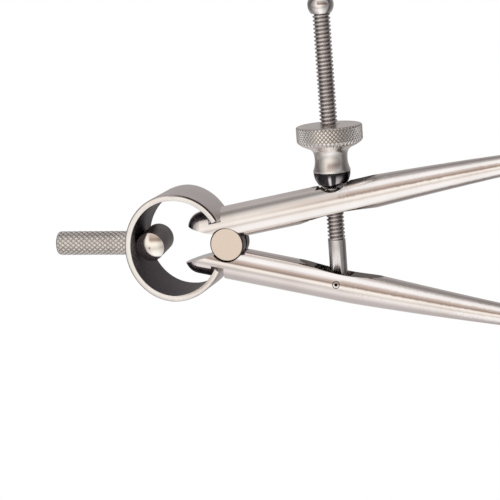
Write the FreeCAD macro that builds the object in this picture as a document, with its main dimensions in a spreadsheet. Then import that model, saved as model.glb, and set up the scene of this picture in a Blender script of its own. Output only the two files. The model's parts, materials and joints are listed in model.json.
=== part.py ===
import FreeCAD, Part
import Sketcher
import math
import os
import re

# A spring divider with round legs, standing on its two points as it is used: +Z runs up the
# tool to the handle, +X points to the leg that carries the nut, and the origin lies midway
# between the two points on the work.

os.makedirs("parts", exist_ok=True)
doc = FreeCAD.newDocument("SpringDivider")

# Driving dimensions, in millimetres and degrees.
driving = {
    # Legs. Places along a leg are measured down from the stud, parallel to the leg's axis;
    # offsets are measured outwards from the stud, square to that axis.
    "rest_angle": 11.2,
    "leg_length": 127.0,
    "leg_diameter": 9.3,
    "leg_offset": 5.54,
    "nut_leg_rise": 6.0,
    "pivot_leg_rise": 7.4,
    "tongue_root": 2.0,
    "tongue_angle": 26.5,
    "taper_start": 33.5,
    "taper_blend": 0.073,
    "bend_power": 2.6,
    "point_length": 8.0,
    "point_neck_diameter": 2.1,
    "point_tip_diameter": 0.3,
    "tip_inset": 2.85,
    "relief_radius": 58.0,
    "relief_depth": 1.3,
    "relief_place": 32.6,
    "notch_top": 3.3,
    "notch_foot": 0.35,
    "notch_floor": 6.55,
    # Fulcrum stud
    "stud_diameter": 9.5,
    "stud_length": 7.1,
    "stud_bevel": 0.35,
    "stud_groove_width": 1.2,
    "stud_groove_depth": 0.6,
    "stud_clearance": 0.05,
    # Bow spring
    "bow_half_width": 14.93,
    "bow_half_height": 13.88,
    "bow_rise": 13.77,
    "bow_thickness": 1.7,
    "bow_strip_width": 18.0,
    "bow_end_width": 12.6,
    "bow_gap_angle": 31.0,
    # Handle and cross pin
    "handle_diameter": 6.7,
    "handle_length": 22.45,
    "handle_bevel": 0.6,
    "stem_diameter": 3.2,
    "stem_depth": 5.4,
    "stem_clearance": 0.05,
    "cross_pin_diameter": 8.1,
    "cross_pin_length": 11.4,
    "cross_pin_offset": 0.6,
    "cross_pin_dome": 8.0,
    "cross_pin_turn": 6.2,
    # Adjusting screw. Places along the screw are measured from its pivot pin.
    "pivot_place": 32.05,
    "pivot_offset": 4.9,
    "screw_lean": 1.2,
    "screw_diameter": 4.8,
    "screw_length": 76.4,
    "thread_clearance": 0.08,
    "pivot_pin_diameter": 2.1,
    "pivot_pin_clearance": 0.05,
    "pin_centre_diameter": 0.8,
    "pin_centre_depth": 0.6,
    "eye_clearance": 0.25,
    "ball_diameter": 7.06,
    "ball_place": 75.4,
    "ball_foot": 2.3,
    # Washer, nut and the leg's seat
    "washer_place": 30.3,
    "washer_radius": 5.0,
    "washer_bore_clearance": 0.06,
    "nut_clearance": 0.04,
    "nut_height": 12.77,
    "nut_lip_diameter": 10.1,
    "nut_lip_height": 0.6,
    "nut_shoulder_diameter": 12.56,
    "nut_shoulder_height": 6.55,
    "nut_neck_radius": 4.08,
    "nut_band_diameter": 17.9,
    "nut_band_foot": 8.42,
    "nut_bevel": 0.6,
    "nut_bevel_height": 0.3,
    "seat_clearance": 0.12,
    "run_out_radius": 96.0,
    "run_out_depth": 0.55,
    "run_out_place": 37.0,
    "slot_clearance": 0.25,
    "slot_rise_out": 0.6,
    "slot_rise_in": 7.3,
    "slot_drop": 0.9,
    "mortise_step": 1.0,
    "mortise_swing": 7.2,
    "mortise_swing_low": 3.3,
}

sheet = doc.addObject("Spreadsheet::Sheet", "Sizes")
for row, (alias, number) in enumerate(driving.items(), start=1):
    sheet.set(f"A{row}", alias)
    sheet.set(f"B{row}", str(number))
    sheet.setAlias(f"B{row}", alias)
doc.recompute()

vector = FreeCAD.Vector
axis_x, axis_y, axis_z = vector(1, 0, 0), vector(0, 1, 0), vector(0, 0, 1)


def bound(formula):
    """A formula in the driving dimensions' names, as an expression on the sheet."""
    return re.sub(r"[a-z_]+", lambda word: f"Sizes.{word[0]}" if word[0] in driving else word[0], formula)


def value(formula):
    return float(sheet.evalExpression(bound(formula)))


def bind(item, **sizes):
    for name, formula in sizes.items():
        item.setExpression(name, bound(formula))
    return item


def place(item, at=("0", "0", "0"), turn=None):
    """Puts an item at three bound coordinates, turned about an axis by a bound angle."""
    if turn:
        axis, angle = turn
        item.Placement = FreeCAD.Placement(vector(), FreeCAD.Rotation(axis, 1))
        item.setExpression(".Placement.Rotation.Angle", bound(angle))
    for letter, formula in zip("xyz", at):
        item.setExpression(f".Placement.Base.{letter}", bound(formula))
    return item


def solid(kind, name, at=("0", "0", "0"), turn=None, **sizes):
    return place(bind(doc.addObject(f"Part::{kind}", name), **sizes), at, turn)


def across(name, radius, x, z, length):
    """A cylinder along Y, centred on Y = 0, at the bound x and z."""
    return solid("Cylinder", name, (x, f"({length}) / 2", z), (axis_x, "90"), Radius=radius, Height=length)


def fuse(name, *pieces):
    item = doc.addObject("Part::MultiFuse", name)
    item.Shapes = list(pieces)
    return item


def cut(name, base, *tools):
    item = doc.addObject("Part::Cut", name)
    item.Base = base
    item.Tool = tools[0] if len(tools) == 1 else fuse(name + "Tools", *tools)
    return item


def arc_between(start, end, radius, side):
    """An anticlockwise arc between two points, its centre on the left (1) or right (-1) of the
    line from start to end."""
    middle = (start + end) * 0.5
    chord = end - start
    rise = math.sqrt(radius ** 2 - (chord.Length / 2) ** 2)
    centre = middle + vector(-chord.y, chord.x, 0).normalize() * rise * side
    first, last = (start, end) if side > 0 else (end, start)
    angles = [math.atan2(point.y - centre.y, point.x - centre.x) for point in (first, last)]
    return Part.ArcOfCircle(Part.Circle(centre, axis_z, radius), *angles)


def turned(name, corners, arcs=None):
    """A body turned about Z from a closed outline of bound (radius, height) corners. An arc
    stands for the edge after a corner: corner number to (radius, side of its centre)."""
    arcs = arcs or {}
    body = doc.addObject("PartDesign::Body", name)
    sketch = body.newObject("Sketcher::SketchObject", name + "Outline")
    plane = next(part for part in body.Origin.OriginFeatures if part.Role == "XZ_Plane")
    sketch.AttachmentSupport = (plane, [""])
    sketch.MapMode = "FlatFace"
    points = [vector(value(radius), value(height), 0) for radius, height in corners]
    ends = []
    for number, start in enumerate(points):
        end = points[(number + 1) % len(points)]
        if number in arcs:
            radius, side = arcs[number]
            sketch.addGeometry(arc_between(start, end, value(radius), side), False)
            ends.append((1, 2) if side > 0 else (2, 1))
            dimension = sketch.addConstraint(Sketcher.Constraint("Radius", number, value(radius)))
            sketch.setExpression(f"Constraints[{dimension}]", bound(radius))
        else:
            sketch.addGeometry(Part.LineSegment(start, end), False)
            ends.append((1, 2))
    for number, (radius, height) in enumerate(corners):
        before = (number - 1) % len(corners)
        first = ends[number][0]
        sketch.addConstraint(Sketcher.Constraint("Coincident", before, ends[before][1], number, first))
        for kind, formula, axis in (("DistanceX", radius, -2), ("DistanceY", height, -1)):
            if formula == "0":
                sketch.addConstraint(Sketcher.Constraint("PointOnObject", number, first, axis))
                continue
            distance = Sketcher.Constraint(kind, -1, 1, number, first, value(formula))
            dimension = sketch.addConstraint(distance)
            sketch.setExpression(f"Constraints[{dimension}]", bound(formula))
    turn = body.newObject("PartDesign::Revolution", name + "Turn")
    turn.Profile = sketch
    turn.ReferenceAxis = (sketch, ["V_Axis"])
    turn.Angle = 360
    return body


# Heights of the stud above the points, and of the pieces stacked on it.
stud_height = "(leg_length * cos(rest_angle) - (leg_offset - tip_inset) * sin(rest_angle))"
bow_centre = f"({stud_height} + bow_rise)"
bow_top = f"({bow_centre} + bow_half_height)"
bow_inside_top = f"({bow_top} - bow_thickness)"


def handle():
    stem_foot = "(bow_thickness + stem_depth)"
    piece = turned("handle", [
        ("0", "0"),
        ("stem_diameter / 2", "0"),
        ("stem_diameter / 2", stem_foot),
        ("handle_diameter / 2 - handle_bevel / 2", stem_foot),
        ("handle_diameter / 2", f"{stem_foot} + handle_bevel / 2"),
        ("handle_diameter / 2", f"{stem_foot} + handle_length - handle_bevel"),
        ("handle_diameter / 2 - handle_bevel", f"{stem_foot} + handle_length"),
        ("0", f"{stem_foot} + handle_length"),
    ])
    return place(piece, ("0", "0", f"{bow_top} - {stem_foot}"))


def handle_cross_pin():
    """A round bar with domed ends. It reaches further to the back than to the front."""
    radius = "cross_pin_diameter / 2"
    dome_rise = f"(cross_pin_dome - sqrt(pow(cross_pin_dome; 2) - pow({radius}; 2)))"
    bar = turned("CrossPinBar", [
        ("0", "0"),
        (radius, dome_rise),
        (radius, f"cross_pin_length - {dome_rise}"),
        ("0", "cross_pin_length"),
    ], arcs={0: ("cross_pin_dome", 1), 2: ("cross_pin_dome", 1)})
    place(bar, ("0", "cross_pin_length / 2 + cross_pin_offset", "0"), (axis_x, "90"))
    tapped_hole = solid("Cylinder", "CrossPinHole", ("0", "0", "cross_pin_diameter / 2 - stem_depth"),
                        Radius="stem_diameter / 2", Height="cross_pin_diameter")
    piece = cut("handle_cross_pin", bar, tapped_hole)
    pin_height = f"{bow_inside_top} - cross_pin_diameter / 2"
    return place(piece, ("0", "0", pin_height), (axis_z, "-cross_pin_turn"))


def oval_bar(name, inset):
    """An oval bar along Y, the bow's outline drawn in by the inset."""
    oval = bind(doc.addObject("Part::Ellipse", name + "Outline"),
                MajorRadius=f"bow_half_width - {inset}", MinorRadius=f"bow_half_height - {inset}")
    oval.Placement = FreeCAD.Placement(vector(), FreeCAD.Rotation(axis_x, 90))
    bar = doc.addObject("Part::Extrusion", name)
    bar.Base = oval
    bar.DirMode = "Custom"
    bar.Dir = axis_y
    bar.Solid = True
    bar.Symmetric = True
    return bind(bar, LengthFwd="bow_strip_width")


def bow_spring():
    """The strip is full width over the handle's half and tapers to its ends."""
    ring = cut("BowRing", oval_bar("BowOutside", "0"), oval_bar("BowInside", "bow_thickness"))
    end_drop = "(bow_half_height * cos(bow_gap_angle))"
    end_narrowing = "((bow_strip_width - bow_end_width) / 2)"
    upper_half = solid("Box", "BowUpperHalf", ("-bow_half_width", "-bow_strip_width / 2", "0"),
                       Length="2 * bow_half_width", Width="bow_strip_width", Height="bow_half_height")
    lower_half = solid("Wedge", "BowLowerHalf", ("-bow_half_width", "0", "0"), (axis_x, "-90"),
                       Xmin="0", Xmax="2 * bow_half_width", X2min="0", X2max="2 * bow_half_width",
                       Ymin="0", Ymax=end_drop,
                       Zmin="-bow_strip_width / 2", Zmax="bow_strip_width / 2",
                       Z2min=f"{end_narrowing} - bow_strip_width / 2",
                       Z2max=f"bow_strip_width / 2 - {end_narrowing}")
    blank = doc.addObject("Part::Common", "BowBlank")
    blank.Base = ring
    blank.Tool = fuse("BowStripOutline", upper_half, lower_half)
    gap_half_width = "(bow_half_height * tan(bow_gap_angle))"
    gap = solid("Wedge", "BowGap", ("0", "0", "-bow_half_height"), (axis_x, "90"),
                Xmin=f"-{gap_half_width}", Xmax=gap_half_width, X2min="0", X2max="0",
                Ymin="0", Ymax="bow_half_height", Zmin="-bow_strip_width", Zmax="bow_strip_width",
                Z2min="-bow_strip_width", Z2max="bow_strip_width")
    stem_hole = solid("Cylinder", "BowStemHole", Radius="stem_diameter / 2 + stem_clearance",
                      Height="bow_half_height + bow_thickness")
    return place(cut("bow_spring", blank, gap, stem_hole), ("0", "0", bow_centre))


def fulcrum_stud():
    middle = "stud_length / 2"
    radius = "stud_diameter / 2"
    bar = turned("fulcrum_stud", [
        ("0", "0"),
        (f"{radius} - stud_bevel", "0"),
        (radius, "stud_bevel"),
        (radius, f"{middle} - stud_groove_width / 2"),
        (f"{radius} - stud_groove_depth", f"{middle} - stud_groove_width / 2"),
        (f"{radius} - stud_groove_depth", f"{middle} + stud_groove_width / 2"),
        (radius, f"{middle} + stud_groove_width / 2"),
        (radius, "stud_length - stud_bevel"),
        (f"{radius} - stud_bevel", "stud_length"),
        ("0", "stud_length"),
    ])
    return place(bar, ("0", middle, stud_height), (axis_x, "90"))


def leg_taper(prefix, side):
    """The leg below its parallel part: a long taper, which starts without an edge and bends
    inwards in a shallow arc so that the two points meet when the divider is shut, and a short
    sharp point."""
    taper_length = "(leg_length - point_length - taper_start)"
    bend = "tip_inset / pow(leg_length - taper_start; bend_power)"
    full_drop = "(sqrt(1 + pow(taper_blend; 2)) - taper_blend)"
    rings = []
    for share in ("0", "0.05", "0.1", "0.2", "0.4", "0.7", "1"):
        drop = f"(sqrt(pow({share}; 2) + pow(taper_blend; 2)) - taper_blend) / {full_drop}"
        ring = doc.addObject("Part::Circle", f"{prefix}Section")
        bind(ring, Radius=f"leg_diameter / 2 - (leg_diameter - point_neck_diameter) / 2 * {drop}")
        x = f"{side} * (leg_offset - {bend} * pow({taper_length} * {share}; bend_power))"
        rings.append(place(ring, (x, "0", f"-taper_start - {taper_length} * {share}")))
    tip = bind(doc.addObject("Part::Circle", f"{prefix}Tip"), Radius="point_tip_diameter / 2")
    place(tip, (f"{side} * (leg_offset - tip_inset)", "0", "-leg_length"))
    taper = doc.addObject("Part::Loft", f"{prefix}Taper")
    taper.Sections = rings
    taper.Solid = True
    point = doc.addObject("Part::Loft", f"{prefix}Point")
    point.Sections = [rings[-1], tip]
    point.Solid = True
    point.Ruled = True
    return taper, point


def leg_blank(prefix, side, rise):
    """A round bar with a ball end at the top and the taper below, in the leg's own frame: the
    stud's centre is the origin and the leg's axis runs down at the offset. Side is 1 for the
    leg on the nut's side and -1 for the other, and rise is the ball end's height."""
    axis = f"{side} * leg_offset"
    bar = solid("Cylinder", f"{prefix}Bar", (axis, "0", "-taper_start"),
                Radius="leg_diameter / 2", Height=f"taper_start + {rise}")
    ball_end = solid("Sphere", f"{prefix}BallEnd", (axis, "0", rise), Radius="leg_diameter / 2")
    return fuse(f"{prefix}Blank", bar, ball_end, *leg_taper(prefix, side))


def leg_cuts(prefix, side):
    """The cuts that both legs share: the tongue's slanted inner face, the hollow for the stud
    with a rib left for the stud's groove, the notch for the spring's end and a shallow relief."""
    tongue_length = "4 * leg_offset"
    slant = solid("Box", f"{prefix}TongueFace", (f"{side} * tongue_root", "-leg_diameter", "0"),
                  (vector(0, side, 0), "tongue_angle"),
                  Length="3 * leg_offset", Width="2 * leg_diameter", Height=tongue_length)
    if side > 0:
        slant.setExpression(".Placement.Base.x", bound("tongue_root - 3 * leg_offset * cos(tongue_angle)"))
        slant.setExpression(".Placement.Base.z", bound("3 * leg_offset * sin(tongue_angle)"))
    hollow = across(f"{prefix}StudHollow", "stud_diameter / 2 + stud_clearance",
                    "0", "0", "2 * leg_diameter")
    groove_radius = "stud_diameter / 2 - stud_groove_depth"
    rib_bore = across(f"{prefix}RibFace", f"{groove_radius} + stud_clearance", "0", "0", "3 * leg_diameter")
    rib_width = "(stud_groove_width - 2 * stud_clearance)"
    rib = across(f"{prefix}RibDisc", "stud_diameter", "0", "0", rib_width)
    notch_left = "notch_floor" if side > 0 else "-notch_floor - leg_diameter"
    notch = solid("Box", f"{prefix}Notch", (notch_left, "-leg_diameter", "-notch_foot"),
                  Length="leg_diameter", Width="2 * leg_diameter", Height="notch_top + notch_foot")
    relief = across(f"{prefix}Relief", "relief_radius",
                    f"{side} * (leg_offset - leg_diameter / 2 + relief_depth - relief_radius)",
                    "-relief_place", "2 * leg_diameter")
    stud_cut = fuse(f"{prefix}StudCut", cut(f"{prefix}GroovedHollow", hollow, rib), rib_bore)
    return slant, stud_cut, notch, relief


pivot_x = f"(pivot_place * sin(rest_angle) + pivot_offset * cos(rest_angle))"
pivot_z = f"({stud_height} - pivot_place * cos(rest_angle) + pivot_offset * sin(rest_angle))"
washer_x = f"(washer_place * cos(screw_lean) - {pivot_x})"
washer_z = f"({pivot_z} + washer_place * sin(screw_lean))"
# The washer's ball centre in the nut-side leg's own frame.
washer_drop = f"({stud_height} - {washer_z})"
seat_place = f"({washer_drop} * cos(rest_angle) + {washer_x} * sin(rest_angle))"
seat_offset = f"({washer_x} * cos(rest_angle) - {washer_drop} * sin(rest_angle))"


def nut_side_leg():
    """The screw passes through a slot in this leg, which flares inwards for the leg's swing. The
    washer rocks in a round scoop that is milled across the leg's back and runs out down the leg."""
    seat = across("SeatScoop", "washer_radius + seat_clearance", seat_offset, f"-{seat_place}",
                  "2 * leg_diameter")
    run_out = across("SeatRunOut", "run_out_radius",
                     "leg_offset + leg_diameter / 2 - run_out_depth + run_out_radius",
                     "-run_out_place", "2 * leg_diameter")
    half_bore = "(screw_diameter / 2 + slot_clearance)"
    slot = solid("Wedge", "ScrewSlot", ("0", half_bore, f"-{seat_place}"), (axis_z, "-90"),
                 Xmin="0", Xmax=f"2 * {half_bore}", X2min="0", X2max=f"2 * {half_bore}",
                 Ymin="0", Ymax=seat_offset,
                 Zmin=f"-{half_bore} - slot_drop", Zmax=f"{half_bore} + slot_rise_in",
                 Z2min=f"-{half_bore} - slot_drop", Z2max=f"{half_bore} + slot_rise_out")
    blank = leg_blank("NutLeg", 1, "nut_leg_rise")
    piece = cut("nut_side_leg", blank, *leg_cuts("NutLeg", 1), seat, run_out, slot)
    return place(piece, ("0", "0", stud_height), (vector(0, -1, 0), "rest_angle"))


def pivot_side_leg():
    """The screw's eye sits in a mortise of this leg, on a pin that crosses the leg."""
    mortise_width = "(screw_diameter + 2 * eye_clearance)"
    mortise = solid("Box", "ScrewMortise", ("-pivot_offset - mortise_step", f"-{mortise_width} / 2",
                                            "-pivot_place - mortise_swing_low"),
                    Length="leg_diameter", Width=mortise_width, Height="mortise_swing + mortise_swing_low")
    floor = across("MortiseFloor", "screw_diameter / 2 + eye_clearance", "-pivot_offset", "-pivot_place",
                   mortise_width)
    pin_hole = across("PivotPinHole", "pivot_pin_diameter / 2", "-pivot_offset", "-pivot_place",
                      "2 * leg_diameter")
    blank = leg_blank("PivotLeg", -1, "pivot_leg_rise")
    piece = cut("pivot_side_leg", blank, *leg_cuts("PivotLeg", -1), mortise, floor, pin_hole)
    return place(piece, ("0", "0", stud_height), (axis_y, "rest_angle"))


def screw_pivot_pin():
    """The pin is filed flush with the leg's round sides, and has a centre hole in each end."""
    round_bar = across("PivotPinRound", "pivot_pin_diameter / 2", "0", "0", "2 * leg_diameter")
    drilled = across("PivotPinDrilled", "pin_centre_diameter / 2", "0", "0", "2 * leg_diameter")
    core = across("PivotPinCore", "pivot_pin_diameter / 2", "0", "0", "leg_diameter - 2 * pin_centre_depth")
    bar = cut("PivotPinBar", round_bar, cut("PivotPinCentres", drilled, core))
    leg_bar = solid("Cylinder", "PivotPinTrim", ("pivot_offset - leg_offset", "0", "-leg_diameter"),
                    Radius="leg_diameter / 2", Height="2 * leg_diameter")
    piece = doc.addObject("Part::Common", "screw_pivot_pin")
    piece.Base = bar
    piece.Tool = leg_bar
    return place(piece, (f"-{pivot_x}", "0", pivot_z), (axis_y, "rest_angle"))


def along_screw(piece, distance):
    """Stands a piece that was made about Z on the screw's axis, at a distance from the pivot."""
    return place(piece, (f"{distance} * cos(screw_lean) - {pivot_x}", "0",
                         f"{pivot_z} + {distance} * sin(screw_lean)"),
                 (axis_y, "90 - screw_lean"))


def adjusting_screw():
    radius = "screw_diameter / 2"
    bar = turned("ScrewBar", [
        ("0", "0"),
        (radius, "0"),
        (radius, "screw_length"),
        ("0", "screw_length"),
    ])
    eye_end = solid("Sphere", "ScrewEyeEnd", Radius=radius)
    pin_hole = across("ScrewPinHole", "pivot_pin_diameter / 2 + pivot_pin_clearance", "0", "0",
                      "2 * screw_diameter")
    piece = cut("adjusting_screw", fuse("ScrewBlank", bar, eye_end), pin_hole)
    return along_screw(piece, "0")


def stop_ball():
    ball = solid("Sphere", "StopBallRound", Radius="ball_diameter / 2")
    foot = solid("Box", "StopBallFoot", ("-ball_diameter", "-ball_diameter", "-ball_diameter - ball_foot"),
                 Length="2 * ball_diameter", Width="2 * ball_diameter", Height="ball_diameter")
    socket = solid("Cylinder", "StopBallSocket", ("0", "0", "-ball_diameter"),
                   Radius="screw_diameter / 2", Height="ball_diameter + screw_length - ball_place")
    return along_screw(cut("stop_ball", ball, foot, socket), "ball_place")


def seat_washer():
    """A half ball, flat side to the nut."""
    bore = "screw_diameter / 2 + washer_bore_clearance"
    half_ball = solid("Sphere", "WasherRound", Radius="washer_radius")
    half_ball.Angle2 = 0
    hole = solid("Cylinder", "WasherBore", ("0", "0", "-2 * washer_radius"),
                 Radius=bore, Height="4 * washer_radius")
    return along_screw(cut("seat_washer", half_ball, hole), "washer_place")


def adjusting_nut():
    """A knurled band on a waisted neck that ends in a lip."""
    bore = "screw_diameter / 2 + thread_clearance"
    band = "nut_band_diameter / 2"
    piece = turned("adjusting_nut", [
        (bore, "0"),
        ("nut_lip_diameter / 2", "0"),
        ("nut_lip_diameter / 2", "nut_lip_height"),
        ("nut_shoulder_diameter / 2", "nut_shoulder_height"),
        (band, "nut_band_foot"),
        (band, "nut_height - nut_bevel_height"),
        (f"{band} - nut_bevel", "nut_height"),
        (bore, "nut_height"),
    ], arcs={2: ("nut_neck_radius", -1)})
    return along_screw(piece, "(washer_place + nut_clearance)")


pieces = [
    handle(), handle_cross_pin(), bow_spring(), fulcrum_stud(), nut_side_leg(), pivot_side_leg(),
    screw_pivot_pin(), adjusting_screw(), stop_ball(), seat_washer(), adjusting_nut(),
]
doc.recompute()

for item in doc.Objects:
    if {"Invalid", "Error"} & set(item.State):
        raise RuntimeError(f"{item.Name} failed: {item.State}")
for piece in pieces:
    if piece.Shape.isNull() or not piece.Shape.isValid():
        raise RuntimeError(f"{piece.Name} has no valid shape")
    piece.Label = piece.Name
    piece.Shape.exportStep(f"parts/{piece.Label}.step")
    print(piece.Label, len(piece.Shape.Solids), round(piece.Shape.Volume, 1), piece.Shape.BoundBox)
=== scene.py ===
import json
import math
from types import SimpleNamespace

import bmesh
import bpy
from mathutils import Matrix, Vector


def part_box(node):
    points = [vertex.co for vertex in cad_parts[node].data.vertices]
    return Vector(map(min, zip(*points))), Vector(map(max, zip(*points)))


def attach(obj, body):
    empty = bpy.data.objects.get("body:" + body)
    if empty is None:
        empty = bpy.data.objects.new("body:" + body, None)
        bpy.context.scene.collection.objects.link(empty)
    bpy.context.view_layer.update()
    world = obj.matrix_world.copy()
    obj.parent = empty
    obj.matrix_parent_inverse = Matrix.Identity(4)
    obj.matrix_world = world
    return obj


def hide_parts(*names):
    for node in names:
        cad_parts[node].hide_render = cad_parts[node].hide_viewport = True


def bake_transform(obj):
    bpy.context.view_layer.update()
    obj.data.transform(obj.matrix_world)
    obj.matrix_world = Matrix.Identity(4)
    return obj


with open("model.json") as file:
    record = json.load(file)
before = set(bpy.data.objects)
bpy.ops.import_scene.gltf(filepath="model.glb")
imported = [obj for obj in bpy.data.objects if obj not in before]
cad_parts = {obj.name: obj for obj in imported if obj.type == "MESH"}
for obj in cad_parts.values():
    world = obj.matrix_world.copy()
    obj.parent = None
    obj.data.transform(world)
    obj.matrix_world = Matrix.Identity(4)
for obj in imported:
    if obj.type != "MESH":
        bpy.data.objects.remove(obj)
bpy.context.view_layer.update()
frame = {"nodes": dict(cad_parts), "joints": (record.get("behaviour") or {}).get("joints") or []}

mm = 0.001
millimetres = Matrix.Scale(mm, 4)  # brings a shape that is drawn in millimetres into the scene
joints = {joint["name"]: joint for joint in frame["joints"]}
studCentre = Vector(joints["nut_leg_swing"]["pos_m"])
screwPivot = Vector(joints["screw_swing"]["pos_m"])
washerCentre = Vector(joints["nut_spin"]["pos_m"])
screwAxis = Vector(joints["nut_spin"]["axis"]).normalized()
restAngle = math.radians(11.2)  # each leg's lean from the tool's axis
print("frame loaded:", len(frame["nodes"]), "nodes")


# node helpers: a value that is a socket is linked, and any other value is set

def plug(tree, value, socket):
    if isinstance(value, bpy.types.NodeSocket):
        tree.links.new(value, socket)
    else:
        socket.default_value = value


def addNode(tree, kind, values=None, **settings):
    node = tree.nodes.new(kind)
    for name, value in settings.items():
        setattr(node, name, value)
    for socket, value in (values or {}).items():
        plug(tree, value, node.inputs[socket])
    return node


def calc(tree, operation, first, second=0.0, third=0.0):
    return addNode(tree, "ShaderNodeMath", {0: first, 1: second, 2: third}, operation=operation).outputs[0]


def vectorCalc(tree, operation, first, second=(0, 0, 0)):
    # the result is at [0] when it is a vector, and at ["Value"] when it is a number
    return addNode(tree, "ShaderNodeVectorMath", {0: first, 1: second}, operation=operation).outputs


def splitVector(tree, vector):
    return addNode(tree, "ShaderNodeSeparateXYZ", {0: vector}).outputs


def mixColour(tree, share, first, second, **settings):
    # 6 and 7 are the two colours that go in, and 2 is the one that comes out
    values = {0: share, 6: first, 7: second}
    return addNode(tree, "ShaderNodeMix", values, data_type="RGBA", **settings).outputs[2]


def stepped(tree, value, low, high, first=0.0, second=1.0):
    values = {"Value": value, "From Min": low, "From Max": high, "To Min": first, "To Max": second}
    return addNode(tree, "ShaderNodeMapRange", values, interpolation_type="SMOOTHSTEP").outputs[0]


def within(tree, distance, edge, soft):
    # 1 up to an edge, and 0 from a soft stretch past it on, both in millimetres
    return stepped(tree, distance, edge * mm, (edge + soft) * mm, 1.0, 0.0)


def beyond(tree, distance, edge, soft):
    # 0 up to an edge, and 1 from a soft stretch past it on
    return stepped(tree, distance, edge * mm, (edge + soft) * mm)


def distanceFrom(tree, place, point, axis):
    # how far the surface lies from a line through a point
    offset = vectorCalc(tree, "SUBTRACT", place, point)[0]
    return vectorCalc(tree, "LENGTH", vectorCalc(tree, "CROSS_PRODUCT", offset, axis)[0])["Value"]


def rgb(red, green, blue):
    return (red, green, blue, 1.0)


# the two effects that every steel shares

def newGroup(name, inputs, outputs):
    group = bpy.data.node_groups.new(name, "ShaderNodeTree")
    for label, kind, start in inputs:
        socket = group.interface.new_socket(label, in_out="INPUT", socket_type=kind)
        socket.default_value = start
    for label, kind in outputs:
        group.interface.new_socket(label, in_out="OUTPUT", socket_type=kind)
    return group, group.nodes.new("NodeGroupInput").outputs, group.nodes.new("NodeGroupOutput").inputs


def polishLines():
    # fine lines that a buffing wheel leaves, drawn out along the vector's X
    group, given, result = newGroup(
        "polishLines",
        [("Vector", "NodeSocketVector", (0, 0, 0)), ("Across", "NodeSocketFloat", 2500.0),
         ("Along", "NodeSocketFloat", 60.0), ("Smooth", "NodeSocketFloat", 0.1),
         ("Dull", "NodeSocketFloat", 0.2)],
        [("Roughness", "NodeSocketFloat"), ("Height", "NodeSocketFloat")])
    scale = addNode(group, "ShaderNodeCombineXYZ", {
        "X": given["Along"], "Y": given["Across"], "Z": given["Across"]})
    drawn = vectorCalc(group, "MULTIPLY", given["Vector"], scale.outputs[0])[0]
    lines = addNode(group, "ShaderNodeTexNoise", {
        "Vector": drawn, "Scale": 1.0, "Detail": 4.0, "Roughness": 0.6})
    rough = addNode(group, "ShaderNodeMapRange", {
        "Value": lines.outputs[0], "From Min": 0.3, "From Max": 0.7,
        "To Min": given["Smooth"], "To Max": given["Dull"]})
    group.links.new(rough.outputs[0], result["Roughness"])
    group.links.new(lines.outputs[0], result["Height"])
    return group


def metalPatina():
    # broad soft patches of two shades of one metal, and a few small dull specks
    patchEdge, speckEdge, speckFineness = (0.4, 0.7), (0.66, 0.74), 14.0
    group, given, result = newGroup(
        "metalPatina",
        [("Vector", "NodeSocketVector", (0, 0, 0)), ("Clean", "NodeSocketColor", rgb(0.8, 0.8, 0.8)),
         ("Worn", "NodeSocketColor", rgb(0.6, 0.6, 0.6)), ("Patch Scale", "NodeSocketFloat", 120.0),
         ("Specks", "NodeSocketFloat", 0.2)],
        [("Color", "NodeSocketColor")])
    patches = addNode(group, "ShaderNodeTexNoise", {
        "Vector": given["Vector"], "Scale": given["Patch Scale"], "Detail": 3.0})
    dots = addNode(group, "ShaderNodeTexNoise", {
        "Vector": given["Vector"], "Scale": calc(group, "MULTIPLY", given["Patch Scale"], speckFineness),
        "Detail": 2.0})
    patch = stepped(group, patches.outputs[0], *patchEdge)
    speck = calc(group, "MULTIPLY", stepped(group, dots.outputs[0], *speckEdge), given["Specks"])
    shade = mixColour(group, calc(group, "ADD", patch, speck), given["Clean"], given["Worn"])
    group.links.new(shade, result["Color"])
    return group


groups = {"polishLines": polishLines(), "metalPatina": metalPatina()}
usualFinish = {
    "turn": (0, 0, 0), "patches": 120.0, "specks": 0.2, "across": 2500.0, "along": 60.0, "relief": 0.1,
    "reliefDepth": 0.02,
}


def newMetal(name, finish):
    # the shared body of every steel: patina for the colour, polishing lines for gloss and bump
    finish = usualFinish | finish
    material = bpy.data.materials.new(name)
    material.use_nodes = True
    tree = material.node_tree
    shader = tree.nodes["Principled BSDF"]
    shader.inputs["Metallic"].default_value = 1.0
    place = addNode(tree, "ShaderNodeTexCoord").outputs["Object"]
    turned = addNode(tree, "ShaderNodeMapping", {"Vector": place, "Rotation": finish["turn"]}).outputs[0]
    patina = addNode(tree, "ShaderNodeGroup", {
        "Vector": turned, "Clean": finish["clean"], "Worn": finish["worn"],
        "Patch Scale": finish["patches"], "Specks": finish["specks"],
    }, node_tree=groups["metalPatina"]).outputs
    lines = addNode(tree, "ShaderNodeGroup", {
        "Vector": turned, "Across": finish["across"], "Along": finish["along"],
        "Smooth": finish["smooth"], "Dull": finish["dull"],
    }, node_tree=groups["polishLines"]).outputs
    bump = addNode(tree, "ShaderNodeBump", {
        "Height": lines["Height"], "Strength": finish["relief"], "Distance": finish["reliefDepth"] * mm})
    tree.links.new(patina["Color"], shader.inputs["Base Color"])
    tree.links.new(lines["Roughness"], shader.inputs["Roughness"])
    tree.links.new(bump.outputs[0], shader.inputs["Normal"])
    return SimpleNamespace(material=material, tree=tree, shader=shader, place=place, turned=turned,
                           colour=patina["Color"], roughness=lines["Roughness"])


def overlay(steel, mask, colour):
    # lays one more colour over a steel, where the mask is 1
    steel.colour = mixColour(steel.tree, mask, steel.colour, colour)
    steel.tree.links.new(steel.colour, steel.shader.inputs["Base Color"])


def onto(material, nodeName):
    mesh = frame["nodes"][nodeName].data
    mesh.materials.clear()
    mesh.materials.append(material)


# mesh helpers

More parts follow.
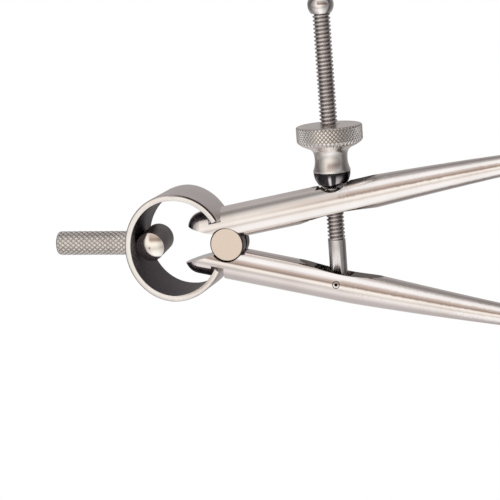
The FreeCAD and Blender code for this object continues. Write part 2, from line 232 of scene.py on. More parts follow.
def makePiece(name, shape, materials, place=None, sharpFrom=35):
    points, faces = shape
    mesh = bpy.data.meshes.new(name)
    mesh.from_pydata(points, [], faces)
    mesh.transform(place or Matrix.Identity(4))
    mesh.validate()
    cleaned = bmesh.new()
    cleaned.from_mesh(mesh)
    bmesh.ops.recalc_face_normals(cleaned, faces=cleaned.faces)
    cleaned.to_mesh(mesh)
    cleaned.free()
    mesh.shade_smooth()
    mesh.set_sharp_from_angle(angle=math.radians(sharpFrom))
    piece = bpy.data.objects.new(name, mesh)
    bpy.context.scene.collection.objects.link(piece)
    for material in materials:
        mesh.materials.append(material)
    return piece


def onCircle(radius, turn, height):
    return (radius * math.cos(turn), radius * math.sin(turn), height)


def stitch(faces, lower, upper):
    # joins two rings, where a ring that is one point over and over makes triangles
    for step in range(len(lower)):
        after = (step + 1) % len(lower)
        faces.append(list(dict.fromkeys([lower[step], lower[after], upper[after], upper[step]])))


def turnedShape(rows, around):
    # rows are (radius, height) from one end to the other; a radius of 0 closes the end
    points, faces, rings = [], [], []
    for radius, height in rows:
        start = len(points)
        if radius == 0:
            points.append((0, 0, height))
            rings.append([start] * around)
            continue
        for step in range(around):
            points.append(onCircle(radius, 2 * math.pi * step / around, height))
        rings.append(list(range(start, start + around)))
    for lower, upper in zip(rings, rings[1:]):
        stitch(faces, lower, upper)
    return points, faces


def knurledShape(below, above, knurl):
    # a band of flat-topped diamonds; the rows below and above it are (radius, height, share of the grooves)
    count, levels, flat = knurl["count"], knurl["rows"], knurl["flat"]
    outer, depth = knurl["radius"], knurl["depth"]
    steps, half = 2 * count, math.pi / count
    foot = below[-1][1]
    rise = (above[0][1] - foot) / levels
    points, faces, rings = [], [], []

    def addPoint(radius, turn, height):
        points.append(onCircle(radius, turn, height))
        return len(points) - 1

    def addRing(radius, height, share, first):
        # three points to a diamond: the groove, and the two ends of the flat top
        if radius == 0:
            rings.append([addPoint(0, 0, height)] * (3 * count))
            return
        ring = []
        for cell in range(count):
            start = (2 * cell + first) * half
            ring.append(addPoint(radius - share * depth, start, height))
            ring.append(addPoint(radius, start + half * (1 - flat), height))
            ring.append(addPoint(radius, start + half * (1 + flat), height))
        rings.append(ring)

    shift = levels % 2  # an odd number of levels ends half a diamond further round
    for row in below:
        addRing(*row, 0)
    for row in above:
        addRing(*row, shift)
    # by step round and level: where the grooves cross, and the left and right corner of a diamond's top
    crossing, corners = {}, {}
    for level, first, ring in ((0, 0, rings[len(below) - 1]), (levels, shift, rings[len(below)])):
        for cell in range(count):
            crossing[(2 * cell + first) % steps, level] = ring[3 * cell]
            corners[(2 * cell + first + 1) % steps, level] = (ring[3 * cell + 1], ring[3 * cell + 2])
    for level in range(1, levels):
        height = foot + rise * level
        for step in range(steps):
            if (step + level) % 2 == 0:
                crossing[step, level] = addPoint(outer - depth, step * half, height)
            else:
                corners[step, level] = (addPoint(outer, (step - flat) * half, height),
                                        addPoint(outer, (step + flat) * half, height))
    for (step, level), (left, right) in corners.items():
        before, after = crossing[(step - 1) % steps, level], crossing[(step + 1) % steps, level]
        height, outline = foot + rise * level, [left]
        if level > 0:
            low, groove = addPoint(outer, step * half, height - flat * rise), crossing[step, level - 1]
            faces += [[before, groove, low, left], [groove, after, right, low]]
            outline.append(low)
        outline.append(right)
        if level < levels:
            high, groove = addPoint(outer, step * half, height + flat * rise), crossing[step, level + 1]
            faces += [[after, groove, high, right], [groove, before, left, high]]
            outline.append(high)
        faces.append(outline)
    for number in range(len(rings) - 1):
        if number != len(below) - 1:  # the diamonds fill that gap
            stitch(faces, rings[number], rings[number + 1])
    return points, faces


def roundedEnd(radius, top, inset, drop, steps):
    # rows over a rounded rim, on which the knurl's grooves run out
    rows = []
    for step in range(steps + 1):
        turn = step / steps * math.pi / 2
        rows.append((radius - inset * (1 - math.cos(turn)), top - drop * (1 - math.sin(turn)),
                     1 - step / steps))
    return rows


def alongScrew(distance):
    # puts what was drawn about Z on the screw's axis, this many metres from the pivot
    turn = Vector((0, 0, 1)).rotation_difference(screwAxis).to_matrix().to_4x4()
    return Matrix.Translation(screwPivot + screwAxis * distance) @ turn


def dress(piece, body, nodeName):
    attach(piece, body)
    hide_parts(nodeName)


# handle, in millimetres up from its stem's foot

handle = {
    "stem": 3.2, "stemLength": 7.1, "length": 22.45, "bevel": 0.6, "endSteps": 5,
    "shoulderRow": (0.12, 0.36, 0.4),  # halfway round the lower bevel: in, up, and share of the grooves
    "knurl": {"radius": 3.35, "count": 16, "rows": 27, "depth": 0.22, "flat": 0.56},
    "finish": {
        # the third colour is painted shade in the knurl's grooves
        "clean": rgb(0.93, 0.90, 0.87), "worn": rgb(0.80, 0.77, 0.75), "paintedShade": rgb(0.66, 0.635, 0.615),
        "smooth": 0.22, "dull": 0.36, "patches": 300.0, "specks": 0.3, "along": 400.0, "relief": 0.15,
    },
}
# how deep under the tops and under the grooves a knurl's painted shade lies, and over what height it fades
knurlShade = {"depth": 0.2, "fade": 0.19, "floor": 0.12, "floorFade": 0.1}


def knurledSteel(name, piece, point, axis):
    # painted shade darkens the grooves between a knurl's diamonds, below their tops
    steel = newMetal(name, piece["finish"])
    top = piece["knurl"]["radius"]
    groove = top - piece["knurl"]["depth"]
    reach = distanceFrom(steel.tree, steel.place, point, axis)
    underTops = within(steel.tree, reach, top - knurlShade["depth"], knurlShade["fade"])
    aboveFloor = beyond(steel.tree, reach, groove - knurlShade["floor"], knurlShade["floorFade"])
    overlay(steel, calc(steel.tree, "MULTIPLY", underTops, aboveFloor), piece["finish"]["paintedShade"])
    return steel.material


def makeHandle():
    radius, stem, bevel = handle["knurl"]["radius"], handle["stem"] / 2, handle["bevel"]
    shoulder = handle["stemLength"]
    top = shoulder + handle["length"]
    inset, up, share = handle["shoulderRow"]
    below = [(0, 0, 0), (stem, 0, 0), (stem, shoulder, 0), (radius - bevel, shoulder, 0),
             (radius - inset, shoulder + up, share), (radius, shoulder + bevel, 1)]
    above = roundedEnd(radius, top, bevel, bevel, handle["endSteps"]) + [(0, top, 0)]
    place = Matrix.Translation((0, 0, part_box("handle")[0].z)) @ millimetres
    material = knurledSteel("knurledNickel", handle, (0, 0, 0), (0, 0, 1))
    shape = knurledShape(below, above, handle["knurl"])
    piece = makePiece("knurledHandle", shape, [material], place, sharpFrom=22)
    dress(piece, "head", "handle")


makeHandle()
print("handle made")


# cross pin and stud: the solids' own shapes, with bright ends and painted shade on the sides
# the pin has no painted dark rim and no painted groove, so its rim lies past its edge and its groove below 0

crossPin = {
    "front": -3.98, "back": 5.18, "rim": 60.0, "groove": -1.0,
    "faceColour": rgb(1.0, 0.955, 0.89), "faceRough": 0.14,
    "finish": {
        # the sides' dark colours are painted shade
        "clean": rgb(0.22, 0.20, 0.21), "worn": rgb(0.32, 0.30, 0.30), "smooth": 0.3, "dull": 0.45,
        "turn": (0, 0, math.radians(6.2)),
    },
}
stud = {
    "front": -3.25, "back": 3.25, "rim": 4.42, "groove": 0.55,
    "faceColour": rgb(0.86, 0.74, 0.65), "faceRough": 0.26,
    "finish": {
        # the sides' dark colours are painted shade
        "clean": rgb(0.10, 0.09, 0.09), "worn": rgb(0.18, 0.165, 0.16), "smooth": 0.16, "dull": 0.3,
        "patches": 500.0, "specks": 0.5,
    },
}
# painted shade: how softly the dark rim and groove fade, and the groove's black
paintedShadeEdge = {"faceSoft": 0.1, "grooveSoft": 0.04, "grooveShade": rgb(0.02, 0.018, 0.018)}


def shadedSideSteel(name, piece):
    # painted shade: dark sides, a black groove round the middle, and a dark rim round the bright ends
    steel = newMetal(name, piece["finish"])
    tree, soft = steel.tree, paintedShadeEdge["faceSoft"]
    across = splitVector(tree, steel.turned)[1]
    front = within(tree, across, piece["front"] - soft, soft)
    back = beyond(tree, across, piece["back"], soft)
    reach = distanceFrom(tree, steel.place, studCentre, (0, 1, 0))
    face = calc(tree, "MULTIPLY", calc(tree, "MAXIMUM", front, back), within(tree, reach, piece["rim"], soft))
    groove = within(tree, calc(tree, "ABSOLUTE", across), piece["groove"], paintedShadeEdge["grooveSoft"])
    overlay(steel, groove, paintedShadeEdge["grooveShade"])
    overlay(steel, face, piece["faceColour"])
    rough = addNode(tree, "ShaderNodeMix", {0: face, 2: steel.roughness, 3: piece["faceRough"]})
    tree.links.new(rough.outputs[0], steel.shader.inputs["Roughness"])
    return steel.material


onto(shadedSideSteel("pinPaintedShade", crossPin), "handle_cross_pin")
onto(shadedSideSteel("studPaintedShade", stud), "fulcrum_stud")
print("cross pin and stud finished")


# bow spring, in two halves

spring = {
    "halfWidth": 14.93, "halfHeight": 13.88, "rise": 13.77, "thickness": 1.7, "strip": 18.0,
    "endStrip": 12.6, "gapAngle": 31.0, "stations": 110,
    "outerCorner": 0.42, "innerCorner": 0.15, "cornerSteps": 4,
    "bendTop": 151.7, "bendFoot": 126.5,
    "outside": {
        "clean": rgb(0.97, 0.92, 0.915), "worn": rgb(0.89, 0.845, 0.84), "smooth": 0.34, "dull": 0.44,
        "patches": 60.0, "specks": 0.1,
    },
    # the inside's near-black colours are painted shade
    "inside": {
        "clean": rgb(0.105, 0.09, 0.103), "worn": rgb(0.14, 0.12, 0.13), "smooth": 0.38, "dull": 0.5,
        "patches": 60.0, "specks": 0.1,
    },
    "edge": {
        "clean": rgb(1.0, 0.98, 0.96), "worn": rgb(0.93, 0.89, 0.87), "smooth": 0.2, "dull": 0.3,
        "patches": 90.0, "specks": 0.1,
    },
    "corner": {
        # the corner's grey is painted shade
        "clean": rgb(0.85, 0.80, 0.78), "worn": rgb(0.7, 0.65, 0.63), "smooth": 0.3, "dull": 0.42,
        "patches": 200.0, "specks": 0.2,
    },
    # the stain starts and ends over these angles, in radians round the bow from the nut's side up
    "stain": rgb(0.13, 0.09, 0.08), "stainStart": (-1.25, -1.0), "stainEnd": (-0.4, 0.25),
}
springCentre = studCentre + Vector((0, 0, spring["rise"] * mm))
outsideSlot, insideSlot, edgeSlot, cornerSlot = range(4)
# of the strip's four corners, and of the four flats that follow them
cornerSlots = (cornerSlot, edgeSlot, edgeSlot, cornerSlot)
flatSlots = (edgeSlot, insideSlot, edgeSlot, outsideSlot)


def springReach(angle, inset):
    # from the bow's middle to its oval outside, or to an oval this far inside it
    return 1 / math.hypot(math.cos(angle) / (spring["halfWidth"] - inset),
                          math.sin(angle) / (spring["halfHeight"] - inset))


def springSection(angle):
    # the strip's rounded outline in one direction, as (reach from the bow's middle, place across)
    outer, inner = springReach(angle, 0), springReach(angle, spring["thickness"])
    drop = max(0.0, -outer * math.sin(angle))
    endDrop = spring["halfHeight"] * math.cos(math.radians(spring["gapAngle"]))
    half = spring["strip"] / 2 - (spring["strip"] - spring["endStrip"]) / 2 * drop / endDrop
    wide, tight = spring["outerCorner"], spring["innerCorner"]
    section = []
    for reach, across, corner, start in (
            (outer - wide, half - wide, wide, 0), (inner + tight, half - tight, tight, 90),
            (inner + tight, tight - half, tight, 180), (outer - wide, wide - half, wide, 270)):
        for step in range(spring["cornerSteps"] + 1):
            turn = math.radians(start + 90 * step / spring["cornerSteps"])
            section.append((reach + corner * math.cos(turn), across + corner * math.sin(turn)))
    return section


def springHalf(name, side, materials):
    first, last = math.radians(90), math.radians(-90 + spring["gapAngle"])
    stations, perCorner = spring["stations"], spring["cornerSteps"] + 1
    around = 4 * perCorner
    points, faces, slots = [], [], []
    for station in range(stations + 1):
        angle = first + (last - first) * station / stations
        for reach, across in springSection(angle):
            points.append((side * reach * math.cos(angle), across, reach * math.sin(angle)))
    for station in range(stations):
        here, there = station * around, (station + 1) * around
        for spot in range(around):
            after = (spot + 1) % around
            faces.append([here + spot, here + after, there + after, there + spot])
            corner, step = divmod(spot, perCorner)
            slots.append(cornerSlots[corner] if step < spring["cornerSteps"] else flatSlots[corner])
    faces.append(list(range(stations * around, (stations + 1) * around)))  # the strip's end
    slots.append(edgeSlot)
    place = Matrix.Translation(springCentre) @ millimetres
    piece = makePiece(name, (points, faces), materials, place, sharpFrom=40)
    for face, slot in zip(piece.data.polygons, slots):
        face.material_index = slot
    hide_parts("bow_spring")
    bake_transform(piece)


def shadedStainedCorner():
    # the rounded outer corner is painted grey as shade, and stained brown from the stud's side up to the
    # middle
    steel = newMetal("springCorner", spring["corner"])
    tree = steel.tree
    parts = splitVector(tree, vectorCalc(tree, "SUBTRACT", steel.place, springCentre)[0])
    angle = calc(tree, "ARCTAN2", parts["Z"], parts["X"])
    stain = calc(tree, "MULTIPLY", stepped(tree, angle, *spring["stainStart"]),
                 stepped(tree, angle, *spring["stainEnd"], 1.0, 0.0))
    overlay(steel, stain, spring["stain"])
    return steel.material


springSteels = [
    newMetal("springOutside", spring["outside"]).material,
    newMetal("springInsideShade", spring["inside"]).material,
    newMetal("springEdge", spring["edge"]).material,
    shadedStainedCorner(),
]
springHalf("springNutSide", 1, springSteels)
springHalf("springPivotSide", -1, springSteels)
print("bow spring made")


# legs: the solids' own shapes, polished along their length
# each place of painted shade is a disc whose middle lies this offset out from the stud's middle and this
# place down along the leg, and nothing of it shows above its start

leg = {
    # the relief's dark colour is painted shade
    "relief": {"radius": 58.03, "soft": 0.08, "offset": -55.81, "place": 32.6, "start": -0.5,
               "colour": rgb(0.22, 0.19, 0.175)},
    # the run-out's dark colour is painted shade
    "runOut": {"radius": 96.03, "soft": 0.08, "offset": 105.64, "place": 37.0, "start": -0.5,
               "colour": rgb(0.16, 0.135, 0.135)},
    # painted shade of the washer, spreading from the run-out over the leg's round side, past the washer only
    "washerShade": {"radius": 29.33, "soft": 0.57, "offset": 38.5, "place": 37.6, "start": 34.9,
              "colour": rgb(0.24, 0.215, 0.21)},
    "startSoft": 0.5, "darkRough": 0.3,
    # painted shade inside the washer's seat
    "seat": {"reach": 6.1, "reachSoft": 0.5, "legOffset": 5.54, "inside": 4.4, "insideSoft": 0.15,
             "colour": rgb(0.03, 0.025, 0.026)},
    "finish": {
        "clean": rgb(0.97, 0.925, 0.905), "worn": rgb(0.91, 0.855, 0.83), "smooth": 0.08, "dull": 0.17,
        "patches": 70.0, "specks": 0.12, "along": 25.0, "across": 1400.0, "relief": 0.12,
    },
}


def alongLeg(side):
    return (side * math.sin(restAngle), 0, -math.cos(restAngle))


def legPoint(side, offset, place):
    # a place on a leg, by its distance out from the stud's middle and down along the leg
    return studCentre + mm * Vector((
        side * (offset * math.cos(restAngle) + place * math.sin(restAngle)), 0,
        offset * math.sin(restAngle) - place * math.cos(restAngle)))


def legSteel(name, side, darkPlaces):
    # polished all over, but with painted shade over the listed dark places: the shallow hollows, and on the
    # nut's leg the run-out and the side past the washer
    steel = newMetal(name, leg["finish"] | {"turn": (0, math.radians(90) + side * restAngle, 0)})
    tree = steel.tree
    fromStud = vectorCalc(tree, "SUBTRACT", steel.place, studCentre)[0]
    down = vectorCalc(tree, "DOT_PRODUCT", fromStud, alongLeg(side))["Value"]
    for dark in darkPlaces:
        centre = legPoint(side, dark["offset"], dark["place"])
        near = within(tree, distanceFrom(tree, steel.place, centre, (0, 1, 0)), dark["radius"], dark["soft"])
        mask = calc(tree, "MULTIPLY", near, beyond(tree, down, dark["start"], leg["startSoft"]))
        overlay(steel, mask, dark["colour"])
        steel.roughness = calc(tree, "MULTIPLY_ADD", mask, leg["darkRough"], steel.roughness)
    tree.links.new(steel.roughness, steel.shader.inputs["Roughness"])
    return steel


def paintSeatShade(steel):
    # painted shade in the seat's hollow round the washer
    tree, seat = steel.tree, leg["seat"]
    toAxis = distanceFrom(tree, steel.place, legPoint(1, seat["legOffset"], 0), alongLeg(1))
    toWasher = vectorCalc(tree, "DISTANCE", steel.place, washerCentre)["Value"]
    mask = calc(tree, "MULTIPLY", within(tree, toAxis, seat["inside"], seat["insideSoft"]),
                within(tree, toWasher, seat["reach"], seat["reachSoft"]))
    overlay(steel, mask, seat["colour"])


nutLegSteel = legSteel("polishedNutLeg", 1, [leg["relief"], leg["washerShade"], leg["runOut"]])
paintSeatShade(nutLegSteel)
onto(nutLegSteel.material, "nut_side_leg")
onto(legSteel("polishedPivotLeg", -1, [leg["relief"]]).material, "pivot_side_leg")
print("legs finished")


# adjusting screw, in millimetres from its pivot pin; the thread's crest and root are shares of the pitch

screw = {
    "diameter": 4.8, "shank": 9.8, "end": 74.0, "around": 48, "eyeSteps": 10,
    "pinHole": 2.2, "holeReach": 4.0, "holeAround": 32,
    "pitch": 1.0583, "depth": 0.5, "crest": 0.16, "crestSoft": 0.06, "crestDrop": 0.12, "root": 0.12,
    "perTurn": 40, "plainTurns": 0.3, "runOutTurns": 0.7, "shankOverlap": 1.9, "shankInset": 0.01,
    # how far out from the axis the root's painted shade reaches, and how softly it fades
    "rootShadeReach": 1.93, "rootShadeSoft": 0.29,
    "finish": {
        # the third colour is painted shade in the thread's root
        "clean": rgb(0.87, 0.835, 0.83), "worn": rgb(0.74, 0.71, 0.705), "paintedShade": rgb(0.40, 0.37, 0.365),
        "smooth": 0.2, "dull": 0.34, "patches": 200.0, "specks": 0.3, "along": 300.0, "relief": 0.12,
    },
}


def screwSteel():
    # bright at the crests, with painted shade in the thread's root
    steel = newMetal("brightScrew", screw["finish"])
    reach = distanceFrom(steel.tree, steel.place, screwPivot, screwAxis)
    paintedShade = within(steel.tree, reach, screw["rootShadeReach"], screw["rootShadeSoft"])
    overlay(steel, paintedShade, screw["finish"]["paintedShade"])
    return steel.material


def threadShape():
    # one helical strip with a sunk root, a soft crest and a sunk root again, over and over up the screw
    radius, pitch, perTurn = screw["diameter"] / 2, screw["pitch"], screw["perTurn"]
    crest, soft, drop = screw["crest"] / 2, screw["crestSoft"], screw["crestDrop"]
    profile = [(0.0, 1.0), (0.5 - crest - soft, drop), (0.5 - crest, 0.0), (0.5 + crest, 0.0),
               (0.5 + crest + soft, drop), (1.0 - screw["root"], 1.0)]
    wide, steps = len(profile), int((screw["end"] - screw["shank"]) / pitch * perTurn)
    points, faces = [], []
    for step in range(steps + 1):
        turns = step / perTurn
        growth = min(1.0, max(0.0, (turns - screw["plainTurns"]) / screw["runOutTurns"]))
        for along, sunk in profile:
            points.append(onCircle(radius - screw["depth"] * sunk * growth, 2 * math.pi * turns,
                                   screw["shank"] + (turns + along) * pitch))
    for step in range(steps):
        here, there = step * wide, (step + 1) * wide
        for spot in range(wide - 1):
            faces.append([here + spot, there + spot, there + spot + 1, here + spot + 1])
        if step + perTurn < steps:  # the root's floor, up to the next turn
            faces.append([here + wide - 1, there + wide - 1, there + perTurn * wide, here + perTurn * wide])
    return points, faces


def cutAway(piece, cutter):
    tool = piece.modifiers.new("cut", "BOOLEAN")
    tool.object, tool.operation, tool.solver = cutter, "DIFFERENCE", "EXACT"
    shown = piece.evaluated_get(bpy.context.evaluated_depsgraph_get())
    shape = bpy.data.meshes.new_from_object(shown)
    piece.modifiers.clear()
    piece.data = shape
    bpy.data.objects.remove(cutter)


def makeScrew():
    radius, steps = screw["diameter"] / 2, screw["eyeSteps"]
    rows = [(0, -radius)]
    for step in range(1, steps + 1):  # the eye's round end
        turn = math.pi / 2 * step / steps
        rows.append((radius * math.sin(turn), -radius * math.cos(turn)))
    shankTop = screw["shank"] + screw["pitch"] * screw["shankOverlap"]
    rows += [(radius - screw["shankInset"], shankTop), (0, shankTop)]
    material = screwSteel()
    place = alongScrew(0) @ millimetres
    shank = makePiece("screwShank", turnedShape(rows, screw["around"]), [material], place)
    hole, reach = screw["pinHole"] / 2, screw["holeReach"]
    holeShape = turnedShape([(0, -reach), (hole, -reach), (hole, reach), (0, reach)], screw["holeAround"])
    across = Matrix.Translation(screwPivot) @ Matrix.Rotation(math.pi / 2, 4, "X") @ millimetres
    cutAway(shank, makePiece("pinHoleTool", holeShape, [material], across))
    thread = makePiece("screwThread", threadShape(), [material], place, sharpFrom=25)
    dress(shank, "screw", "adjusting_screw")
    dress(thread, "screw", "adjusting_screw")


makeScrew()
print("screw made")


# ball, washer and pivot pin: the solids' own shapes

stopBallFinish = {
    "clean": rgb(0.98, 0.945, 0.93), "worn": rgb(0.90, 0.865, 0.85), "smooth": 0.05, "dull": 0.12,
    "patches": 250.0,
}
washer = {
    # the light streaks down the meridians are painted reflections
    "streaks": 9.0, "sway": 1.3, "swayCount": 5.0, "swayStart": 1.0, "reflectionFrom": (-0.1, 1.0),
    "reflectionMiddle": -2.4, "reflectionHalf": 0.9, "reflectionFade": 1.3, "reflectionColour": rgb(0.70, 0.67, 0.69),
    "finish": {
        "clean": rgb(0.04, 0.037, 0.042), "worn": rgb(0.075, 0.07, 0.077), "smooth": 0.12, "dull": 0.24,
        "patches": 220.0, "specks": 0.5,
    },
}
pivotPin = {
    # the dark colour is painted shade round the pin's end and in its hole
    "hole": 0.40, "holeSoft": 0.10, "rim": 0.80, "rimSoft": 0.12, "paintedShade": rgb(0.012, 0.01, 0.01),
    "finish": {
        "clean": rgb(0.93, 0.885, 0.865), "worn": rgb(0.8, 0.75, 0.72), "smooth": 0.12, "dull": 0.24,
        "patches": 400.0,
    },
}


def washerPaintedReflections():
    # blued steel with painted reflections: light streaks down its high meridians
    steel = newMetal("bluedWasher", washer["finish"])
    tree = steel.tree
    parts = splitVector(tree, vectorCalc(tree, "SUBTRACT", steel.place, washerCentre)[0])
    turn = calc(tree, "ARCTAN2", parts["Z"], calc(tree, "MULTIPLY", parts["Y"], -1.0))
    sway = calc(tree, "SINE", calc(tree, "MULTIPLY_ADD", turn, washer["swayCount"], washer["swayStart"]))
    streaks = calc(tree, "MULTIPLY", turn, washer["streaks"])
    wave = calc(tree, "COSINE", calc(tree, "MULTIPLY_ADD", sway, washer["sway"], streaks))
    height = calc(tree, "ABSOLUTE", calc(tree, "SUBTRACT", parts["X"], washer["reflectionMiddle"] * mm))
    reflected = calc(tree, "MULTIPLY", stepped(tree, wave, *washer["reflectionFrom"]),
                  within(tree, height, washer["reflectionHalf"], washer["reflectionFade"]))
    overlay(steel, reflected, washer["reflectionColour"])
    return steel.material


def pivotPinSteel():
    # painted shade rings the pin's end and fills its centre hole
    steel = newMetal("pivotPinSteel", pivotPin["finish"])
    reach = distanceFrom(steel.tree, steel.place, screwPivot, (0, 1, 0))
    hole = within(steel.tree, reach, pivotPin["hole"], pivotPin["holeSoft"])
    rim = beyond(steel.tree, reach, pivotPin["rim"], pivotPin["rimSoft"])
    overlay(steel, calc(steel.tree, "MAXIMUM", hole, rim), pivotPin["paintedShade"])
    return steel.material


onto(newMetal("stopBallSteel", stopBallFinish).material, "stop_ball")
onto(washerPaintedReflections(), "seat_washer")
onto(pivotPinSteel(), "screw_pivot_pin")
print("ball, washer and pivot pin finished")


# adjusting nut, in millimetres from the washer's flat side

nut = {
    "bore": 2.48, "boreBevel": 0.45, "lip": 5.05, "lipRound": 0.16, "height": 12.77, "clearance": 0.04,
    # from the lip up the waist and out to the band: radius, height and share of the knurl's grooves
    "shoulder": [
        (5.05, 0.6, 0), (4.84, 1.1, 0), (4.64, 1.75, 0), (4.50, 2.5, 0), (4.44, 3.3, 0), (4.45, 4.1, 0),
        (4.53, 4.8, 0), (4.68, 5.4, 0), (4.93, 5.9, 0), (5.32, 6.3, 0), (5.85, 6.62, 0), (6.5, 6.9, 0),
        (7.3, 7.28, 0.2), (7.95, 7.66, 0.5), (8.5, 8.08, 0.8), (8.82, 8.42, 1),
    ],
    "bandFoot": 8.75, "rim": 0.7, "rimHeight": 0.5, "rimSteps": 5,
    "knurl": {"radius": 8.95, "count": 52, "rows": 6, "depth": 0.24, "flat": 0.58},
    "finish": {
        # the third colour is painted shade in the knurl's grooves
        "clean": rgb(1.0, 0.965, 0.94), "worn": rgb(0.9, 0.865, 0.84), "paintedShade": rgb(0.64, 0.61, 0.59),
        "smooth": 0.2, "dull": 0.32, "patches": 260.0, "specks": 0.3, "along": 300.0, "relief": 0.12,
    },
}


def makeNut():
    bore, bevel, lip = nut["bore"], nut["boreBevel"], nut["lip"]
    band, height = nut["knurl"]["radius"], nut["height"]
    below = [(bore, 0, 0), (lip - nut["lipRound"], 0, 0), (lip, nut["lipRound"], 0)]
    below += nut["shoulder"] + [(band, nut["bandFoot"], 1)]
    above = roundedEnd(band, height, nut["rim"], nut["rimHeight"], nut["rimSteps"])
    above += [(bore + bevel, height, 0), (bore, height - bevel, 0), (bore, 0, 0)]
    place = alongScrew((washerCentre - screwPivot).length + nut["clearance"] * mm) @ millimetres
    material = knurledSteel("nutPlate", nut, screwPivot, screwAxis)
    shape = knurledShape(below, above, nut["knurl"])
    piece = makePiece("knurledNut", shape, [material], place, sharpFrom=22)
    dress(piece, "nut", "adjusting_nut")


makeNut()
print("nut made")


# studio, in metres: pale floor, camera, surroundings and lamps

floor = {
    "halfWidth": 1.2, "front": -0.25, "back": 1.6, "rough": 0.8, "shine": 0.2, "grain": 30.0,
    "colour": rgb(0.86, 0.86, 0.855), "shade": rgb(0.83, 0.83, 0.825),
}


def makeFloor():
    material = bpy.data.materials.new("paleFloor")
    material.use_nodes = True
    tree = material.node_tree
    shader = tree.nodes["Principled BSDF"]
    shader.inputs["Roughness"].default_value = floor["rough"]
    shader.inputs["Specular IOR Level"].default_value = floor["shine"]
    place = addNode(tree, "ShaderNodeTexCoord").outputs["Object"]
    grain = addNode(tree, "ShaderNodeTexNoise", {"Vector": place, "Scale": floor["grain"]}).outputs[0]
    tree.links.new(mixColour(tree, grain, floor["colour"], floor["shade"]), shader.inputs["Base Color"])
    wide, front, back = floor["halfWidth"], floor["front"], floor["back"]
    points = [(-wide, front, 0), (wide, front, 0), (wide, back, 0), (-wide, back, 0)]
    piece = makePiece("floor", (points, [[0, 1, 2, 3]]), [material])
    piece.visible_glossy = False


camera = {
    "place": (0.100884, -0.52254, -0.029079), "look": (-0.18649, 0.94550, 0.26694),
    "up": (0.98089, 0.19456, -0.00385), "lens": 144.46, "sensor": 36, "near": 0.01, "far": 20,
}


def makeCamera():
    look = Vector(camera["look"]).normalized()
    right = look.cross(Vector(camera["up"])).normalized()
    turn = Matrix((right, right.cross(look), -look)).transposed().to_4x4()
    data = bpy.data.cameras.new("camera")
    data.lens, data.sensor_width = camera["lens"], camera["sensor"]
    data.clip_start, data.clip_end = camera["near"], camera["far"]
    holder = bpy.data.objects.new("camera", data)
    holder.matrix_world = Matrix.Translation(camera["place"]) @ turn
    bpy.context.scene.collection.objects.link(holder)
    bpy.context.scene.camera = holder


worldFill = 0.75  # the plain grey that dull surfaces get from the world


def makeWorld():
    # white wherever the object is seen against it or mirrors it, and a plain fill on dull surfaces
    world = bpy.data.worlds.new("studioWorld")
    world.use_nodes = True
    bpy.context.scene.world = world
    tree = world.node_tree
    tree.nodes.clear()
    ray = addNode(tree, "ShaderNodeLightPath").outputs
    mirrored = calc(tree, "MAXIMUM", ray["Is Glossy Ray"], ray["Is Transmission Ray"])
    seen = calc(tree, "MAXIMUM", ray["Is Camera Ray"], mirrored)
    shade = mixColour(tree, seen, rgb(worldFill, worldFill, worldFill), rgb(1, 1, 1))
    background = addNode(tree, "ShaderNodeBackground", {"Color": shade, "Strength": 1.0})
    output = addNode(tree, "ShaderNodeOutputWorld")
    tree.links.new(background.outputs[0], output.inputs[0])


# the gauze is lighter or darker round the tool and towards its ends, and the raised view takes over above
# a line that leans with the angle round the tool, as far as leanReach
screen = {
    "centre": (0.02, 0, 0.11), "radius": 3.0, "around": 32, "rings": 16,
    "lean": -0.11, "leanReach": 0.9, "raisedFrom": (0.22, 0.34),
}
tints = {"white": (1.0, 0.985, 0.96), "grey": (1.06, 1.0, 0.985), "cream": (1.05, 1.0, 0.94),
         "brown": (1.22, 1.0, 0.88)}
# what polished steel sees: (degrees round the tool's long axis, level, tint), where 0 degrees is in front
# and 90 is the nut's side
levelView = [
    (-180, 0.40, "grey"), (-140, 0.40, "grey"), (-120, 0.24, "grey"), (-104, 0.22, "grey"),
    (-94, 0.42, "grey"), (-84, 0.75, "white"), (-74, 1.12, "white"), (-45, 1.15, "white"),
    (-36, 0.92, "cream"), (-27, 0.68, "cream"), (-20, 0.80, "cream"), (-10, 0.98, "cream"),
    (-3, 0.95, "cream"), (3, 0.55, "brown"), (8, 0.26, "brown"), (14, 0.29, "brown"),
    (20, 0.42, "brown"), (30, 0.50, "brown"), (38, 0.70, "grey"), (46, 1.05, "white"),
    (68, 1.12, "white"), (76, 0.80, "white"), (86, 0.48, "grey"), (100, 0.34, "grey"),
    (118, 0.22, "grey"), (135, 0.32, "grey"), (155, 0.40, "grey"), (180, 0.40, "grey"),
]
raisedView = [
    (-180, 0.42, "grey"), (-140, 0.55, "grey"), (-115, 0.48, "grey"), (-80, 0.54, "grey"),
    (-60, 0.72, "grey"), (-45, 0.82, "grey"), (-33, 0.64, "grey"), (-25, 0.55, "grey"),
    (-15, 0.88, "cream"), (-5, 0.96, "cream"), (10, 0.93, "cream"), (25, 0.86, "cream"),
    (40, 0.72, "cream"), (50, 0.52, "cream"), (58, 0.38, "grey"), (70, 0.24, "grey"),
    (82, 0.32, "grey"), (92, 0.43, "grey"), (105, 0.52, "grey"), (125, 0.43, "grey"),
    (150, 0.50, "grey"), (180, 0.42, "grey"),
]
# how the same surroundings darken towards the tool's two ends: (place from -1 below to 1 above, level)
endView = [
    (-1.0, 0.30), (-0.92, 0.30), (-0.8, 0.38), (-0.62, 0.53), (-0.4, 0.76), (-0.2, 0.97), (0.1, 1.0),
    (0.45, 0.97), (0.57, 0.72), (0.76, 0.52), (0.89, 0.36), (1.0, 0.25),
]


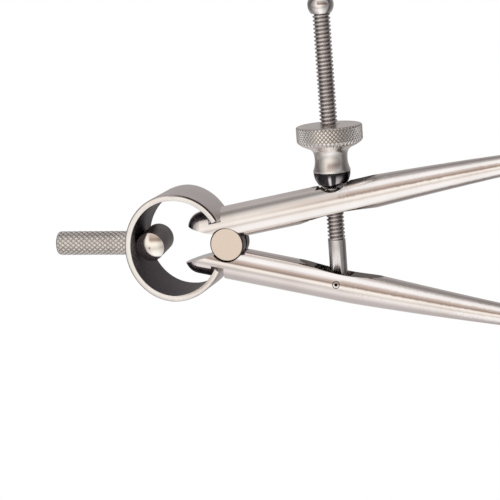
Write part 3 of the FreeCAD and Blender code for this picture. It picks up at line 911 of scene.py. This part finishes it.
def viewRamp(tree, share, stops):
    ramp = addNode(tree, "ShaderNodeValToRGB", {0: share})
    elements = ramp.color_ramp.elements
    elements.remove(elements[-1])
    for number, (position, colour) in enumerate(stops):
        stop = elements[0] if number == 0 else elements.new(position)
        stop.position = position
        stop.color = rgb(*colour)
    return ramp.outputs[0]


def roundView(tree, share, view):
    stops = []
    for degrees, level, tint in view:
        stops.append((degrees / 360 + 0.5, [min(1.0, level * part) for part in tints[tint]]))
    return viewRamp(tree, share, stops)


def screenGauze():
    # tinted gauze, through which polished steel mirrors the white studio
    material = bpy.data.materials.new("studioGauze")
    material.use_nodes = True
    tree = material.node_tree
    tree.nodes.clear()
    place = addNode(tree, "ShaderNodeTexCoord").outputs["Object"]
    offset = vectorCalc(tree, "SUBTRACT", place, screen["centre"])[0]
    parts = splitVector(tree, vectorCalc(tree, "NORMALIZE", offset)[0])
    angle = calc(tree, "ARCTAN2", parts["X"], calc(tree, "MULTIPLY", parts["Y"], -1.0))
    share = calc(tree, "MULTIPLY_ADD", angle, 1 / (2 * math.pi), 0.5)
    reach = screen["leanReach"]
    side = calc(tree, "MINIMUM", calc(tree, "MAXIMUM", angle, -reach), reach)
    leaning = calc(tree, "MULTIPLY_ADD", side, screen["lean"], parts["Z"])
    raised = stepped(tree, leaning, *screen["raisedFrom"])
    around = mixColour(tree, raised, roundView(tree, share, levelView), roundView(tree, share, raisedView))
    height = calc(tree, "MULTIPLY_ADD", parts["Z"], 0.5, 0.5)
    ends = viewRamp(tree, height, [(spot / 2 + 0.5, (level, level, level)) for spot, level in endView])
    gauze = mixColour(tree, 1.0, around, ends, blend_type="MULTIPLY")
    veil = addNode(tree, "ShaderNodeBsdfTransparent", {"Color": gauze})
    output = addNode(tree, "ShaderNodeOutputMaterial")
    tree.links.new(veil.outputs[0], output.inputs[0])
    return material


def makeScreen():
    # a ball of gauze all round, which only mirroring surfaces see
    radius, rings = screen["radius"], screen["rings"]
    rows = [(0, -radius)]
    for ring in range(1, rings):
        turn = math.pi * ring / rings
        rows.append((radius * math.sin(turn), -radius * math.cos(turn)))
    rows.append((0, radius))
    shape, place = turnedShape(rows, screen["around"]), Matrix.Translation(screen["centre"])
    ball = makePiece("studioScreen", shape, [screenGauze()], place)
    ball.visible_camera = ball.visible_diffuse = ball.visible_transmission = ball.visible_shadow = False


lamps = {
    "target": (0, 0, 0.11), "size": 0.5,
    "keyLamp": {"place": (0.45, -0.5, 0.85), "power": 3.0, "colour": (1.0, 0.97, 0.94)},
    "fillLamp": {"place": (-0.5, -0.3, 0.75), "power": 1.5, "colour": (1, 1, 1)},
}


def makeLamp(name):
    settings, target = lamps[name], Vector(lamps["target"])
    data = bpy.data.lights.new(name, "AREA")
    data.shape, data.size = "DISK", lamps["size"]
    data.energy, data.color = settings["power"], settings["colour"]
    holder = bpy.data.objects.new(name, data)
    towards = (target - Vector(settings["place"])).to_track_quat("-Z", "Y").to_matrix().to_4x4()
    holder.matrix_world = Matrix.Translation(settings["place"]) @ towards
    holder.visible_glossy = False  # the steel mirrors the screen, not the lamps
    bpy.context.scene.collection.objects.link(holder)


makeFloor()
makeCamera()
makeWorld()
makeScreen()
makeLamp("keyLamp")
makeLamp("fillLamp")
bpy.context.scene.view_settings.view_transform = "Standard"
print("studio made")
